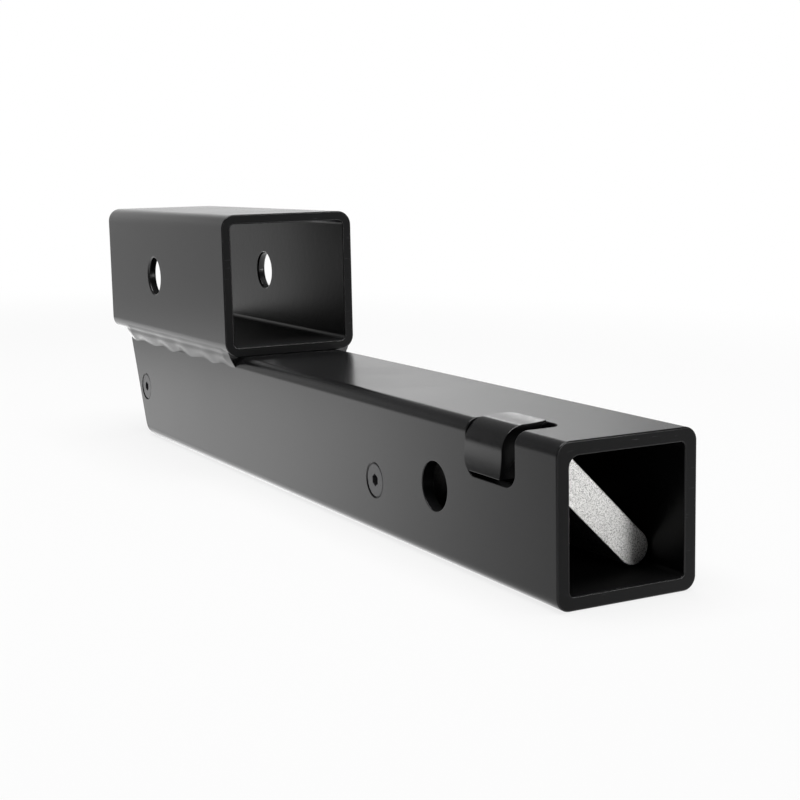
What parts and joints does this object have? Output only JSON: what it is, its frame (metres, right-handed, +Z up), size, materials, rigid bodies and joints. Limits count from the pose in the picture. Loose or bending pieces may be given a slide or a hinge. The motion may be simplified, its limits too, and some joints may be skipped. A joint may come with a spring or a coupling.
{
  "type": "hitch receiver extender",
  "caption": "Square steel hitch extender with a raised receiver tube welded on top, cross pin holes and a screw-drawn cam that expands out of one corner of the shank.",
  "frame": {"origin": "middle of the shank's hitch-pin hole, on the shank's centre line", "axes": "+X along the shank from its open mouth to the raised receiver, +Y to the left, the cam's side, +Z up"},
  "size_m": [0.396, 0.06, 0.1108],
  "materials": {
    "powder_coat": "semi-gloss black powder coat",
    "blasted_steel": "grit-blasted bare steel",
    "black_cam": "satin black coated steel",
    "zinc_plate": "bright zinc plate",
    "block_steel": "dark oxide steel",
    "black_screw": "black coated screw"
  },
  "bodies": {
    "frame": {"shank_tube": "powder_coat", "receiver_tube": "powder_coat", "weld_bead_left": "powder_coat", "weld_bead_right": "powder_coat", "weld_bead_far": "powder_coat", "guide_block": "block_steel", "end_block": "block_steel", "guide_screw_left": "black_screw", "guide_screw_right": "black_screw", "end_screw_left": "black_screw", "end_screw_right": "black_screw", "bolt_washer": "zinc_plate"},
    "bolt": {"draw_bolt": "zinc_plate", "bolt_clip": "zinc_plate"},
    "wedge": {"ramp_wedge": "blasted_steel"},
    "shoe": {"cam_shoe": "black_cam"}
  },
  "joints": [
    {"name": "bolt_turn", "type": "hinge", "parent": "frame", "child": "bolt", "pos_m": [0, -0.0136, -0.0136], "axis": [1, 0, 0], "range_deg": [0, 2890]},
    {"name": "wedge_slide", "type": "slide", "parent": "frame", "child": "wedge", "axis": [1, 0, 0], "range_m": [-0.01, 0]},
    {"name": "shoe_slide", "type": "slide", "parent": "frame", "child": "shoe", "axis": [0, 0.7071, 0.7071], "range_m": [-0.00218, 0]}
  ],
  "couplings": [
    {"joint": "bolt_turn", "follows": "wedge_slide", "rad_per_m": -5026.5},
    {"joint": "shoe_slide", "follows": "wedge_slide", "ratio": 0.21256}
  ]
}
